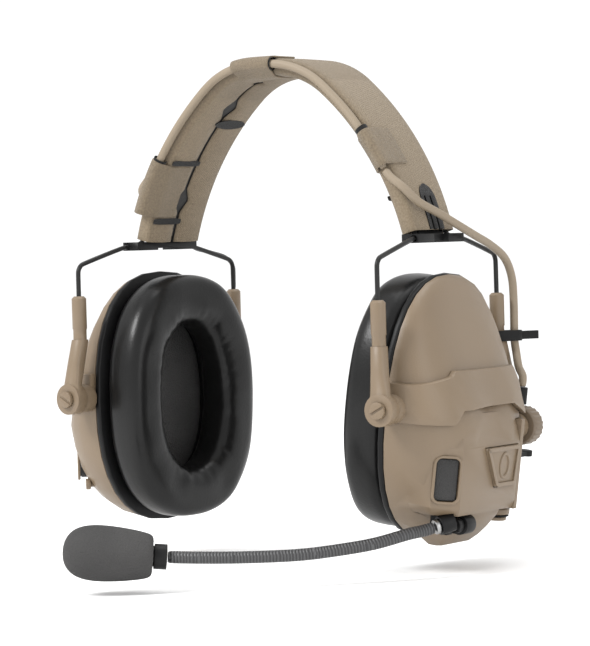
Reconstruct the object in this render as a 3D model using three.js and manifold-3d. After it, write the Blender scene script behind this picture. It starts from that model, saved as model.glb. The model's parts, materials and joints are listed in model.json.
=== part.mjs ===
// Over-ear radio headset: a sprung wire headband in a fabric cover, two ear cups on sliding arms,
// and a boom microphone with its controls on the left cup. Millimetres, +Z up.
// The wearer faces -Y, so +X is the wearer's left. The origin is under the crown of the headband.
import * as THREE from "three";
import { mergeVertices } from "three/addons/utils/BufferGeometryUtils.js";
import Module from "manifold-3d";

const wasm = await Module();
wasm.setup();

// ---------- driving dimensions ----------
const CLEARANCE = 0.35; // gap between neighbouring pieces

const WIRE_SPAN = 146.3; // between the left and right wire legs
const LEG_SPREAD = 49.7; // front or rear wire leg from the middle
const TOE = 4.2; // degrees that each side opens at the front
const LEFT_TILT = 8; // degrees that the left cup leans in at its foot
const LEFT_DROP = 3.5; // the left cup is set this much lower than the right

const CROWN_FLAT = 4; // half the flat at the top of the arch
const CROWN_RADIUS = 35; // arch underside at the crown
const CROWN_ANGLE = 40;
const SIDE_RADIUS = 118; // arch underside down the sides
const ARCH_END_ANGLE = 75;
const COVER_THICKNESS = 7;
const COVER_WALL = 1;
const COVER_FRONT = 18; // cover half widths, front and rear, at the crown
const COVER_REAR = 20.5;
const COVER_TAPER = 2.5; // how much narrower each half is at the ends
const PAD_THICKNESS = 1.9;
const STRIP_THICKNESS = 1.3;
const STRIP_END_ANGLE = 63;
const WIRE_RADIUS = 1.1;
const WIRE_OFFSET = 4.6; // wire above the arch underside
const WIRE_TRACK = 12.4; // wire from the middle of the band
const WIRE_EXIT = -69.5; // height at which the wire leaves the bracket
const WIRE_CORNER = -77.2; // height of the corner from the slope to the leg
const WIRE_BEND = 4.5;
const LEG_FOOT = -111.5;

const BRACKET_TOP = -67.8;
const BRACKET_FOOT = -71.4;
const BRACKET_DEPTH = 8;
const BLOCK_IN = 6;
const BLOCK_OUT = 19;
const TONGUE_ANGLE = 66; // where the bracket's tongue ends inside the cover

const ARM_TOP = -90; // right arm; the left is LEFT_DROP lower
const ARM_RADIUS = 3.1;
const ARM_SLEEVE = 13.7;
const ARM_NECK = 18.4;
const ARM_NECK_RADIUS = 2.85;
const ARM_LENGTH = 43.5; // arm top to pivot
const ARM_BORE = 29.5;
const PIVOT_OUT = 2.5; // pivot outboard of the wire legs
const BOSS_RADIUS = 6.5;
const BOSS_IN = 50.2;
const BOSS_OUT = 55.8;
const SCREW_RADIUS = 1.9;
const SCREW_GRIP = 3; // screw length inside the strap boss
const SCREW_HEAD_RADIUS = 3.4;
const SCREW_HEAD = 1.5;

const CUP_HALF_WIDTH = 41.2;
const CUP_HALF_HEIGHT = 53.5;
const CUP_CENTRE_Y = -2;
const CUP_CENTRE_Z = -1;
const CUP_SQUARENESS = 2.4;
const RIM_X = -3.9; // joint of shell and base plate, from the pivot
const SHELL_WALL = 2.2;
const SHELL_DEPTH = 28.4;
const SHELL_TOP_DEPTH = 7;
const PLATE_THICKNESS = 2.5;
const PLATE_OPENING_Y = 25;
const PLATE_OPENING_Z = 36;
const CUSHION_DEPTH = 19.4;
const CUSHION_HALF_WIDTH = 40;
const CUSHION_HALF_HEIGHT = 52.3;
const EAR_HALF_WIDTH = 19.5;
const EAR_HALF_HEIGHT = 31;
const EAR_SQUARENESS = 2.2;
const FOAM_THICKNESS = 2.1;
const BAFFLE_THICKNESS = 1.2;
const BAFFLE_HALF_WIDTH = 33;
const BAFFLE_HALF_HEIGHT = 44;
const SPEAKER_RADIUS = 17;
const SPEAKER_DEPTH = 6.4;
const SPEAKER_Z = 4;
const STRAP_THICKNESS = 2.2;
const STRAP_BOSS_RADIUS = 6;

const PATCH = { x: 20.3, y: -31.7, z: -26.5, width: 9.5, height: 17, depth: 4.5, turn: 44 };
const PATCH_RECESS = 0.4;
const RIGHT_PATCH_INSET = 1.9;
const GLAND = { x: 11, y: 43.2, z: 0.9, stub: 2.4, radius: 2.7, top: 5.5 };
const CABLE_RADIUS = 1.9;
const LEAD_RADIUS = 1;

const POD = { inner: 2, front: 20.6, outer: 24.3, rear: 38.8, footRear: 35.8, top: -5, foot: -42 };
const POD_SLOPE = { x: 22.3, y: 25.8, rate: -0.754 }; // line of the pod's slanted outer face
const KNOB = { x: 12, z: -10.6, radius: 8.3, from: 41.6, to: 49.4, shaft: 1.5 };
const KNOB_RIBS = 22;
const ENCODER = { radius: 3.95, from: 27.5, to: 36 };
const BATTERY = { x: 11, y: 28, radius: 5.8, length: 21.6 };
const CAP = { flange: 7, neck: 6, core: 5.2, foot: 5.9, stem: 1.5, length: 6.9, ring: 6.8 };
const PLUG = { x: 10.5, z: -23, radius: 3, flange: 3.9, tab: 56 };
const BOARD = { x: 9, thickness: 1.6, front: -24, rear: 12, foot: -34, top: -7 };
const BUTTON = { front: -9.2, rear: 18.6, top: -14.8, foot: -31.2, face: 25.3, depth: 4.8 };
const BUTTON_TRAVEL = 1;
const BOOM_MOUNT = { inner: 12, outer: 20, front: -27, rear: -10, foot: -49.3, top: -42.2 };
const THUMB = { x: 20, z: -46, radius: 3.1, shank: 1.5, from: -21.8, to: -18.2, lobe: 4 };
const SOCKET_RADIUS = 3.9;
const SOCKET_LENGTH = 6;
const FERRULE_RADIUS = 3;
const GOOSENECK_RADIUS = 2.6;
const COLLAR_RADIUS = 5;
const COLLAR_LENGTH = 5;
const CAPSULE_RADIUS = 4.1;
const CAPSULE_LENGTH = 20;
const WINDSCREEN_LENGTH = 35.5;
const WINDSCREEN_RADIUS = 11.4;

const RAD = Math.PI / 180;
const WIRE_X = WIRE_SPAN / 2;
const LEG_Y = LEG_SPREAD * Math.cos(TOE * RAD);
const V = (x, y, z) => new THREE.Vector3(x, y, z);

// ---------- materials ----------
const surface = (color, roughness, metalness = 0) => () =>
  new THREE.MeshStandardMaterial({ color, roughness, metalness });
const TAN_PLASTIC = surface(0x97836b, 0.55);
const TAN_FABRIC = surface(0xa3927a, 0.95);
const TAN_RUBBER = surface(0xa39177, 0.6);
const BLACK_PLASTIC = surface(0x1c1c1d, 0.5);
const BLACK_RUBBER = surface(0x161617, 0.6);
const BLACK_LEATHER = surface(0x141415, 0.32);
const DARK_FOAM = surface(0x3a3a3c, 1);
const SPRING_STEEL = surface(0x55555a, 0.4, 0.9);
const PALE_STEEL = surface(0xb8b8b6, 0.35, 0.9);
const BOARD_GREEN = surface(0x1f4a34, 0.6);

// ---------- solids ----------
// Quads between loops of equal length, closed by a fan at each end, or end to end as a ring.
function skin(loops, closed) {
  const size = loops[0].length;
  const points = loops.flat().flatMap((p) => [p.x, p.y, p.z]);
  const faces = [];
  const bands = closed ? loops.length : loops.length - 1;
  for (let k = 0; k < bands; k++)
    for (let i = 0; i < size; i++) {
      const j = (i + 1) % size;
      const here = k * size;
      const next = ((k + 1) % loops.length) * size;
      faces.push(here + i, here + j, next + j, here + i, next + j, next + i);
    }
  const fan = (k, flip) => {
    const middle = loops[k].reduce((sum, p) => sum.add(p), V(0, 0, 0)).divideScalar(size);
    const centre = points.length / 3;
    points.push(middle.x, middle.y, middle.z);
    for (let i = 0; i < size; i++) {
      const a = k * size + i;
      const b = k * size + ((i + 1) % size);
      faces.push(centre, flip ? b : a, flip ? a : b);
    }
  };
  if (!closed) {
    fan(0, true);
    fan(loops.length - 1, false);
  }
  const geometry = new THREE.BufferGeometry();
  geometry.setAttribute("position", new THREE.Float32BufferAttribute(points, 3));
  geometry.setIndex(faces);
  if (volume(geometry) < 0) turnOver(geometry);
  return geometry;
}

const loft = (loops) => skin(loops, false);
const ring = (loops) => skin(loops, true);

function volume(geometry) {
  const p = geometry.getAttribute("position");
  const index = geometry.index.array;
  const [a, b, c] = [V(), V(), V()];
  let sum = 0;
  for (let i = 0; i < index.length; i += 3) {
    a.fromBufferAttribute(p, index[i]);
    b.fromBufferAttribute(p, index[i + 1]);
    c.fromBufferAttribute(p, index[i + 2]);
    sum += a.dot(b.cross(c)) / 6;
  }
  return sum;
}

function turnOver(geometry) {
  const index = geometry.index.array;
  for (let i = 0; i < index.length; i += 3)
    [index[i + 1], index[i + 2]] = [index[i + 2], index[i + 1]];
}

function toSolid(geometry) {
  const plain = geometry.clone();
  plain.deleteAttribute("normal");
  plain.deleteAttribute("uv");
  const merged = mergeVertices(plain, 1e-4);
  return new wasm.Manifold(
    new wasm.Mesh({
      numProp: 3,
      vertProperties: new Float32Array(merged.getAttribute("position").array),
      triVerts: new Uint32Array(merged.index.array),
    }),
  );
}

function combine(operation, first, others) {
  const solid = others.reduce((sum, other) => sum[operation](toSolid(other)), toSolid(first));
  const made = solid.getMesh();
  const geometry = new THREE.BufferGeometry();
  geometry.setAttribute("position", new THREE.BufferAttribute(made.vertProperties, 3));
  geometry.setIndex(new THREE.BufferAttribute(made.triVerts, 1));
  geometry.computeVertexNormals();
  return geometry;
}
const join = (first, ...others) => combine("add", first, others);
const cut = (first, ...others) => combine("subtract", first, others);
const common = (first, ...others) => combine("intersect", first, others);

const box = (x0, x1, y0, y1, z0, z1) =>
  new THREE.BoxGeometry(x1 - x0, y1 - y0, z1 - z0).translate(
    (x0 + x1) / 2,
    (y0 + y1) / 2,
    (z0 + z1) / 2,
  );

// Places a shape that was made along +Z from the origin.
function along(geometry, from, direction) {
  const turn = new THREE.Quaternion().setFromUnitVectors(V(0, 0, 1), direction);
  return geometry.applyQuaternion(turn).translate(from.x, from.y, from.z);
}

function rod(radius, from, to, sides = 24) {
  const span = to.clone().sub(from);
  const plain = new THREE.CylinderGeometry(radius, radius, span.length(), sides);
  plain.rotateX(Math.PI / 2).translate(0, 0, span.length() / 2);
  return along(plain, from, span.normalize());
}
const rodY = (radius, y0, y1, x, z, sides) => rod(radius, V(x, y0, z), V(x, y1, z), sides);
const rodZ = (radius, z0, z1, x, y, sides) => rod(radius, V(x, y, z0), V(x, y, z1), sides);

// Turned part about +Z from [radius, height] pairs, with flat ends or closed on itself as a ring.
function turned(profile, closed = false, sides = 24) {
  const circles = profile.map(([r, z]) =>
    Array.from({ length: sides }, (_, i) => {
      const turn = (2 * Math.PI * i) / sides;
      return V(r * Math.cos(turn), r * Math.sin(turn), z);
    }),
  );
  return skin(circles, closed);
}

// A route that visits each of its stations, for wires and cables.
class Route extends THREE.Curve {
  constructor(stations) {
    super();
    this.stations = stations;
  }
  getPointAt(t) {
    return this.stations[Math.round(t * (this.stations.length - 1))].clone();
  }
  getSpacedPoints() {
    return this.stations;
  }
  getTangentAt(t) {
    const last = this.stations.length - 1;
    const i = Math.round(t * last);
    const before = this.stations[Math.max(i - 1, 0)];
    const after = this.stations[Math.min(i + 1, last)];
    return after.clone().sub(before).normalize();
  }
}

function tube(stations, radius, sides = 8) {
  const section = new THREE.Shape(
    Array.from({ length: sides }, (_, i) => {
      const turn = (2 * Math.PI * i) / sides;
      return new THREE.Vector2(radius * Math.cos(turn), radius * Math.sin(turn));
    }),
  );
  return new THREE.ExtrudeGeometry(section, {
    steps: stations.length - 1,
    extrudePath: new Route(stations),
  });
}

const smooth = (points, steps) => new THREE.CatmullRomCurve3(points).getSpacedPoints(steps);

// Arc of stations that rounds the corner at b between a and c.
function roundCorner(a, b, c, radius, steps = 5) {
  const into = b.clone().sub(a).normalize();
  const out = c.clone().sub(b).normalize();
  const turn = into.angleTo(out);
  const start = b.clone().addScaledVector(into, -radius * Math.tan(turn / 2));
  const inward = out.clone().addScaledVector(into, -out.dot(into)).normalize();
  const centre = start.clone().addScaledVector(inward, radius);
  return Array.from({ length: steps + 1 }, (_, i) => {
    const angle = (turn * i) / steps;
    return centre
      .clone()
      .addScaledVector(inward, -radius * Math.cos(angle))
      .addScaledVector(into, radius * Math.sin(angle));
  });
}

const signedPower = (value, power) => Math.sign(value) * Math.abs(value) ** power;

// Two distances from the middle, on the front (-1) or the rear (1), in rising order.
const reach = (sign, a, b) => [sign * a, sign * b].sort((p, q) => p - q);

function node(parent, name, geometry, material) {
  const mesh = new THREE.Mesh(geometry, material());
  mesh.name = name;
  parent.add(mesh);
}

const headset = new THREE.Group();

// ---------- headband ----------
// Point of the arch, at an angle from the crown and an offset above its underside.
function archPoint(degrees, offset) {
  const side = Math.sign(degrees);
  const angle = Math.abs(degrees) * RAD;
  const crown = Math.min(angle, CROWN_ANGLE * RAD);
  let x = CROWN_FLAT + CROWN_RADIUS * Math.sin(crown) + offset * Math.sin(angle);
  let z = CROWN_RADIUS * (Math.cos(crown) - 1) + offset * Math.cos(angle);
  if (angle > crown) {
    x += SIDE_RADIUS * (Math.sin(angle) - Math.sin(crown));
    z += SIDE_RADIUS * (Math.cos(angle) - Math.cos(crown));
  }
  return [side * x, z];
}

// The band twists a little from the crown to its ends, to meet the toed-out sides.
const splay = (x, y, z) => V(x * (1 - (y * Math.tan(TOE * RAD)) / WIRE_X), y, z);
const onArch = (degrees, offset, y) => {
  const [x, z] = archPoint(degrees, offset);
  return splay(x, y, z);
};

const CROWN_START = 1e-6; // the arch begins just past the flat on each side
function archAngles(end) {
  const steps = [CROWN_START, 10, 20, 30, CROWN_ANGLE, 47, 54, 61, 68];
  const half = [...steps.filter((a) => a < end), end];
  return [...half.map((a) => -a).reverse(), ...half];
}

const taper = (degrees) => (COVER_TAPER * Math.abs(degrees)) / ARCH_END_ANGLE;
const coverFront = (degrees) => taper(degrees) - COVER_FRONT;
const coverRear = (degrees) => COVER_REAR - taper(degrees);

// Section of a flat band with chamfered corners, as [y, offset] pairs.
const bandSection = (front, rear, low, high, corner) => [
  [front + corner, low],
  [rear - corner, low],
  [rear, low + corner],
  [rear, high - corner],
  [rear - corner, high],
  [front + corner, high],
  [front, high - corner],
  [front, low + corner],
];

const bandLoops = (angles, section) =>
  angles.map((a) => section(a).map(([y, offset]) => onArch(a, offset, y)));

const coverHigh = (inset) => COVER_THICKNESS - inset;
const coverLoops = (inset, corner) =>
  bandLoops(archAngles(ARCH_END_ANGLE), (a) =>
    bandSection(coverFront(a) + inset, coverRear(a) - inset, inset, coverHigh(inset), corner),
  );
node(
  headset,
  "headband_cover",
  ring([...coverLoops(0, 2), ...coverLoops(COVER_WALL, 1.4).reverse()]),
  TAN_FABRIC,
);

const padLow = COVER_WALL + CLEARANCE;
const padHigh = padLow + PAD_THICKNESS;
const padEdge = COVER_WALL + 1;
node(
  headset,
  "headband_pad",
  loft(
    bandLoops(archAngles(ARCH_END_ANGLE - 1), (a) =>
      bandSection(coverFront(a) + padEdge, coverRear(a) - padEdge, padLow, padHigh, 0.6),
    ),
  ),
  BLACK_RUBBER,
);

const stripHalf = WIRE_TRACK - WIRE_RADIUS - 1.4;
const stripLow = padHigh + CLEARANCE;
node(
  headset,
  "band_strip",
  loft(
    bandLoops(archAngles(STRIP_END_ANGLE), () =>
      bandSection(-stripHalf, stripHalf, stripLow, stripLow + STRIP_THICKNESS, 0.4),
    ),
  ),
  BLACK_PLASTIC,
);

// One spring wire: leg, shoulder, slope to the bracket, over the head, and down the other side.
function wireStations(side) {
  const shoulder = (hand) => {
    const at = (x, y, z) => splay(hand * x, side * y, z);
    const foot = at(WIRE_X, LEG_Y, LEG_FOOT);
    const corner = at(WIRE_X, LEG_Y, WIRE_CORNER);
    const exit = at(WIRE_X, BLOCK_OUT + 0.8, WIRE_EXIT);
    return [
      foot,
      ...roundCorner(foot, corner, exit, WIRE_BEND),
      exit,
      at(WIRE_X - 0.7, BLOCK_OUT - 2.2, WIRE_EXIT + 0.1),
      at(WIRE_X - 2.4, WIRE_TRACK + 1.3, WIRE_EXIT + 0.6),
    ];
  };
  const overHead = archAngles(ARCH_END_ANGLE).map((a) => onArch(a, WIRE_OFFSET, side * WIRE_TRACK));
  return [...shoulder(-1), ...overHead, ...shoulder(1).reverse()];
}
const wires = { front: wireStations(-1), rear: wireStations(1) };
for (const [place, stations] of Object.entries(wires))
  node(headset, `${place}_spring_wire`, tube(stations, WIRE_RADIUS), SPRING_STEEL);

// Black moulded end: two blocks that grip the wires, a web between, and a tongue in the cover.
function endBracket(hand) {
  const middle = WIRE_X - 2;
  const [x0, x1] = [middle - BRACKET_DEPTH / 2, middle + BRACKET_DEPTH / 2];
  const blocks = [-1, 1].map((s) =>
    box(x0, x1, ...reach(s, BLOCK_IN, BLOCK_OUT), BRACKET_FOOT, BRACKET_TOP),
  );
  const web = box(x0, middle + 1, -BLOCK_IN - 1, BLOCK_IN + 1, BRACKET_FOOT + 0.8, BRACKET_TOP);
  const tongueHalf = WIRE_TRACK - WIRE_RADIUS - 1.5;
  const tongueHigh = COVER_THICKNESS - COVER_WALL - 0.4;
  const tongue = loft(
    [TONGUE_ANGLE, 71, 76.5].map((a) =>
      bandSection(-tongueHalf, tongueHalf, stripLow, tongueHigh, 0.4).map(([y, offset]) => {
        const [x, z] = archPoint(a, offset);
        return V(x, y, z);
      }),
    ),
  );
  const bracket = join(web, ...blocks, tongue);
  const p = bracket.getAttribute("position");
  for (let i = 0; i < p.count; i++) {
    const moved = splay(hand * p.getX(i), p.getY(i), p.getZ(i));
    p.setXYZ(i, moved.x, moved.y, moved.z);
  }
  if (hand < 0) turnOver(bracket);
  return cut(bracket, ...Object.values(wires).map((w) => tube(w, WIRE_RADIUS + CLEARANCE)));
}
node(headset, "left_end_bracket", endBracket(1), BLACK_PLASTIC);
node(headset, "right_end_bracket", endBracket(-1), BLACK_PLASTIC);

// The cable lies along the front edge of the cover and crosses to the outside at the right end.
const SPLICE = { from: 66, to: 71, front: -3.3, rear: 6, high: 11.4 };
const cableHigh = COVER_THICKNESS + CLEARANCE + CABLE_RADIUS + 0.15;
const cableOnBand = (degrees, offset = 4.9) =>
  onArch(degrees, offset, coverFront(degrees) - CLEARANCE - CABLE_RADIUS);
const bandCable = [
  ...[62, 54, 47, CROWN_ANGLE, 30, 20, 10, CROWN_START].map((a) => cableOnBand(a)),
  ...[-CROWN_START, -10, -20, -30, -CROWN_ANGLE, -47, -54].map((a) => cableOnBand(a)),
  ...smooth(
    [
      cableOnBand(-60),
      cableOnBand(-63, 6.8),
      onArch(-65.2, cableHigh - 0.5, -17.2),
      onArch(-67, cableHigh, -12.5),
      onArch(-68.5, cableHigh, SPLICE.front - 3),
      onArch(-68.5, cableHigh, SPLICE.front - CLEARANCE),
    ],
    9,
  ),
];
node(headset, "band_cable", tube(bandCable, CABLE_RADIUS), TAN_RUBBER);
node(
  headset,
  "cable_splice",
  loft(
    bandLoops([-SPLICE.from, -SPLICE.to], () =>
      bandSection(SPLICE.front, SPLICE.rear, COVER_THICKNESS + CLEARANCE, SPLICE.high, 1.2),
    ),
  ),
  TAN_RUBBER,
);

// ---------- the two sides ----------
// Each side has its own frame at the wire legs: +X outwards, +Y to the rear.
const leftSide = new THREE.Group();
leftSide.position.x = WIRE_X;
leftSide.rotation.z = TOE * RAD;
const rightSide = leftSide.clone();
const rightMirror = new THREE.Group();
rightMirror.scale.x = -1;
rightMirror.add(rightSide);
headset.add(leftSide, rightMirror);
leftSide.updateMatrixWorld();
const toSide = (point) => leftSide.worldToLocal(point.clone());

// Arm: a sleeve on the wire leg, a stepped neck, and a blade that widens to the pivot boss.
function arm(sign) {
  const y = sign * LEG_SPREAD;
  const bossY = (sign * (BOSS_IN + BOSS_OUT)) / 2;
  const sleeve = turned([
    [ARM_NECK_RADIUS, -ARM_NECK - 0.5],
    [ARM_NECK_RADIUS, -ARM_SLEEVE - 0.4],
    [ARM_RADIUS, -ARM_SLEEVE],
    [ARM_RADIUS, -1],
    [ARM_RADIUS - 1, 0],
  ]).translate(0, y, 0);
  const bladeLoop = (t, halfX, halfY) =>
    Array.from({ length: 16 }, (_, i) => {
      const turn = (2 * Math.PI * i) / 16;
      return V(
        PIVOT_OUT * t + halfX * signedPower(Math.cos(turn), 0.8),
        y + (bossY - y) * Math.min(1.3 * t, 1) + halfY * signedPower(Math.sin(turn), 0.8),
        -ARM_NECK - (ARM_LENGTH - ARM_NECK) * t,
      );
    });
  const blade = loft([
    bladeLoop(0, 3.3, 3.3),
    bladeLoop(0.42, 3.6, 3.3),
    bladeLoop(0.75, 4.3, 2.5),
    bladeLoop(0.92, 5.6, 2.5),
  ]);
  const onPivot = (radius, past, sides) =>
    rodY(radius, ...reach(sign, BOSS_IN - past, BOSS_OUT + past), PIVOT_OUT, -ARM_LENGTH, sides);
  const bore = rodZ(WIRE_RADIUS + CLEARANCE, -ARM_BORE, 1, 0, y, 12);
  return cut(
    join(sleeve, blade, onPivot(BOSS_RADIUS, 0, 28)),
    onPivot(SCREW_RADIUS + CLEARANCE, 1, 12),
    bore,
  );
}

const strapBossEnd = BOSS_IN - CLEARANCE;

// Slotted pivot screw, with its head on the outside of the arm boss.
function pivotScrew(sign) {
  const seat = BOSS_OUT + CLEARANCE;
  const shankFrom = strapBossEnd - SCREW_GRIP;
  const head = rodY(SCREW_HEAD_RADIUS, ...reach(sign, seat, seat + SCREW_HEAD), 0, 0, 20);
  const shank = rodY(SCREW_RADIUS, ...reach(sign, shankFrom, seat + 0.2), 0, 0, 12);
  const slot = box(-5, 5, ...reach(sign, seat + 0.8, seat + 3), -0.5, 0.5).rotateY(-0.5);
  return cut(join(head, shank), slot).translate(PIVOT_OUT, 0, -ARM_LENGTH);
}

// ---------- ear cups, in a frame at the pivot axis ----------
// Superellipse in the YZ plane, about the middle of the cup, as [y, z] pairs.
function outline(halfWidth, halfHeight, squareness = CUP_SQUARENESS) {
  const steps = 32;
  return Array.from({ length: steps }, (_, i) => {
    const turn = (2 * Math.PI * i) / steps;
    return [
      CUP_CENTRE_Y + halfWidth * signedPower(Math.cos(turn), 2 / squareness),
      CUP_CENTRE_Z + halfHeight * signedPower(Math.sin(turn), 2 / squareness),
    ];
  });
}
const flatLoop = (points, x) => points.map(([y, z]) => V(x, y, z));
const plate = (points, x0, x1) => loft([flatLoop(points, x0), flatLoop(points, x1)]);

// Depth of the shell at a height: a sloping upper panel, a full lower half and a rounded foot.
function shellDepth(z) {
  const rise = Math.min(Math.max((48 - z) / 56, 0), 1);
  const drop = Math.min(Math.max((-30 - z) / 27, 0), 1);
  const full = SHELL_TOP_DEPTH + (SHELL_DEPTH - SHELL_TOP_DEPTH) * rise ** 1.12;
  return full * Math.sqrt(1 - 0.88 * drop * drop);
}

// Solid of the dome, grown outwards or shrunk inwards, with its flat mouth at a given place.
const DOME_RINGS = [1, 0.98, 0.93, 0.84, 0.68, 0.4];
function dome(grow, mouth = RIM_X) {
  const rim = outline(CUP_HALF_WIDTH + grow, CUP_HALF_HEIGHT + grow);
  const loops = DOME_RINGS.map((share) => {
    const rise = (1 - share ** 4) ** 0.4;
    return rim.map(([y, z]) => {
      const py = CUP_CENTRE_Y + (y - CUP_CENTRE_Y) * share;
      const pz = CUP_CENTRE_Z + (z - CUP_CENTRE_Z) * share;
      return V(RIM_X + (shellDepth(pz) + grow) * rise, py, pz);
    });
  });
  return loft(mouth === RIM_X ? loops : [flatLoop(rim, mouth), ...loops]);
}

// The hear-through microphone looks out of the front corner, so its parts are made along +X.
const inCorner = (geometry, inset) =>
  geometry
    .translate(-inset, 0, 0)
    .rotateZ(-PATCH.turn * RAD)
    .translate(PATCH.x, PATCH.y, PATCH.z);
function patchBlock(grow, from, to, inset) {
  const halfWidth = PATCH.width / 2 + grow;
  const halfHeight = PATCH.height / 2 + grow;
  return inCorner(box(from, to, -halfWidth, halfWidth, -halfHeight, halfHeight), inset);
}
const patchBack = -PATCH_RECESS - PATCH.depth;
const micFace = patchBack - CLEARANCE;
const hearingMic = (inset) => inCorner(rod(2.2, V(micFace - 3, 0, 0), V(micFace, 0, 0), 16), inset);

// Rubber gland: a stub through the shell and the strap that turns up to take the cable.
const glandShape = (grow, from, top) =>
  join(
    rodY(GLAND.stub + grow, from, GLAND.y, GLAND.x, GLAND.z, 16),
    rodZ(GLAND.radius + grow, GLAND.z - GLAND.stub - grow, top, GLAND.x, GLAND.y, 16),
  );
const gland = () => glandShape(0, 34, GLAND.top);
const glandSpace = () => glandShape(CLEARANCE, 25, 40);

// Hollow shell, open at the rim, with the openings that the cutters make.
const shell = (solid, inset, cutters) =>
  cut(
    solid,
    dome(-SHELL_WALL, RIM_X - 1),
    patchBlock(CLEARANCE, patchBack - 5, 9, inset),
    ...cutters,
  );

// Strap over the shell that carries the two pivot bosses.
function strap(extraCuts) {
  const profile = [
    [-60, -5.5],
    [-32, -4.2],
    [-25, 1.2],
    [16, 2.2],
    [28, -3],
    [60, -4.4],
    [60, 6.5],
    [34, 8],
    [25, 16.3],
    [-24, 16.3],
    [-27, 14.2],
    [-60, 6.5],
  ];
  const band = plate(profile, RIM_X + CLEARANCE, 60);
  const layer = cut(dome(CLEARANCE + STRAP_THICKNESS), dome(CLEARANCE, RIM_X - 1));
  const bossStart = CUP_HALF_WIDTH + CLEARANCE + 0.6;
  const bosses = [-1, 1].map((sign) => {
    const ends = [CUP_CENTRE_Y + sign * bossStart, sign * strapBossEnd].sort((a, b) => a - b);
    return rodY(STRAP_BOSS_RADIUS, ...ends, 0, 0);
  });
  const holes = [-1, 1].map((sign) =>
    rodY(SCREW_RADIUS + CLEARANCE, ...reach(sign, strapBossEnd - SCREW_GRIP - 0.5, 60), 0, 0, 12),
  );
  const bossed = join(common(layer, band), ...bosses);
  return cut(bossed, dome(CLEARANCE, RIM_X - 1), ...holes, ...extraCuts);
}

// Cushion section as [depth, width] shares, from the plate to the crest and back.
const CUSHION_SECTION = [
  [0, 0.08],
  [0, 0.9],
  [0.2, 1],
  [0.6, 1],
  [0.85, 0.92],
  [0.97, 0.74],
  [1, 0.55],
  [0.93, 0.3],
  [0.7, 0.06],
  [0.3, 0],
];
const plateBack = RIM_X - CLEARANCE;
const plateFace = plateBack - PLATE_THICKNESS;
const cushionBack = plateFace - CLEARANCE;
function cushion() {
  const outer = outline(CUSHION_HALF_WIDTH, CUSHION_HALF_HEIGHT);
  const inner = outline(EAR_HALF_WIDTH, EAR_HALF_HEIGHT, EAR_SQUARENESS);
  return ring(
    CUSHION_SECTION.map(([depth, share]) =>
      outer.map(([y, z], i) =>
        V(
          cushionBack - CUSHION_DEPTH * depth,
          inner[i][0] + (y - inner[i][0]) * share,
          inner[i][1] + (z - inner[i][1]) * share,
        ),
      ),
    ),
  );
}

const basePlate = () =>
  cut(
    plate(outline(CUP_HALF_WIDTH + 0.3, CUP_HALF_HEIGHT + 0.3), plateFace, plateBack),
    plate(outline(PLATE_OPENING_Y, PLATE_OPENING_Z, EAR_SQUARENESS), plateFace - 1, plateBack + 1),
  );

const foamBack = RIM_X + FOAM_THICKNESS;
const baffleFront = foamBack + CLEARANCE;
const baffleBack = baffleFront + BAFFLE_THICKNESS;
const speakerFront = baffleBack + CLEARANCE;
const speakerAt = (x) => V(x, CUP_CENTRE_Y, SPEAKER_Z);
const acousticFoam = () =>
  plate(outline(BAFFLE_HALF_WIDTH - 2, BAFFLE_HALF_HEIGHT - 2), RIM_X, foamBack);
const baffle = () =>
  cut(
    plate(outline(BAFFLE_HALF_WIDTH, BAFFLE_HALF_HEIGHT), baffleFront, baffleBack),
    rod(SPEAKER_RADIUS - 3, speakerAt(baffleFront - 1), speakerAt(baffleBack + 1)),
  );
const speaker = () =>
  along(
    turned([
      [SPEAKER_RADIUS, 0],
      [SPEAKER_RADIUS, 0.4 * SPEAKER_DEPTH],
      [SPEAKER_RADIUS - 7, 0.55 * SPEAKER_DEPTH],
      [SPEAKER_RADIUS - 7, SPEAKER_DEPTH],
    ]),
    speakerAt(speakerFront),
    V(1, 0, 0),
  );

const cups = {};
for (const [hand, side, tilt, drop, inset] of [
  ["left", leftSide, LEFT_TILT, LEFT_DROP, 0],
  ["right", rightSide, 0, 0, RIGHT_PATCH_INSET],
]) {
  const yoke = new THREE.Group();
  yoke.position.z = ARM_TOP - drop;
  side.add(yoke);
  for (const [place, sign] of Object.entries({ front: -1, rear: 1 })) {
    node(yoke, `${hand}_${place}_arm`, arm(sign), TAN_PLASTIC);
    node(yoke, `${hand}_${place}_pivot_screw`, pivotScrew(sign), TAN_PLASTIC);
  }
  const cup = new THREE.Group();
  cup.position.set(PIVOT_OUT, 0, ARM_TOP - drop - ARM_LENGTH);
  cup.rotation.y = tilt * RAD;
  side.add(cup);
  cups[hand] = cup;
  node(cup, `${hand}_cup_strap`, strap(hand === "left" ? [glandSpace()] : []), TAN_PLASTIC);
  node(cup, `${hand}_base_plate`, basePlate(), BLACK_PLASTIC);
  node(cup, `${hand}_ear_cushion`, cushion(), BLACK_LEATHER);
  node(cup, `${hand}_acoustic_foam`, acousticFoam(), DARK_FOAM);
  node(cup, `${hand}_speaker_baffle`, baffle(), BLACK_PLASTIC);
  node(cup, `${hand}_speaker`, speaker(), PALE_STEEL);
  node(cup, `${hand}_hearing_foam`, patchBlock(0, patchBack, -PATCH_RECESS, inset), DARK_FOAM);
  node(cup, `${hand}_hearing_mic`, hearingMic(inset), PALE_STEEL);
}

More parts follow.
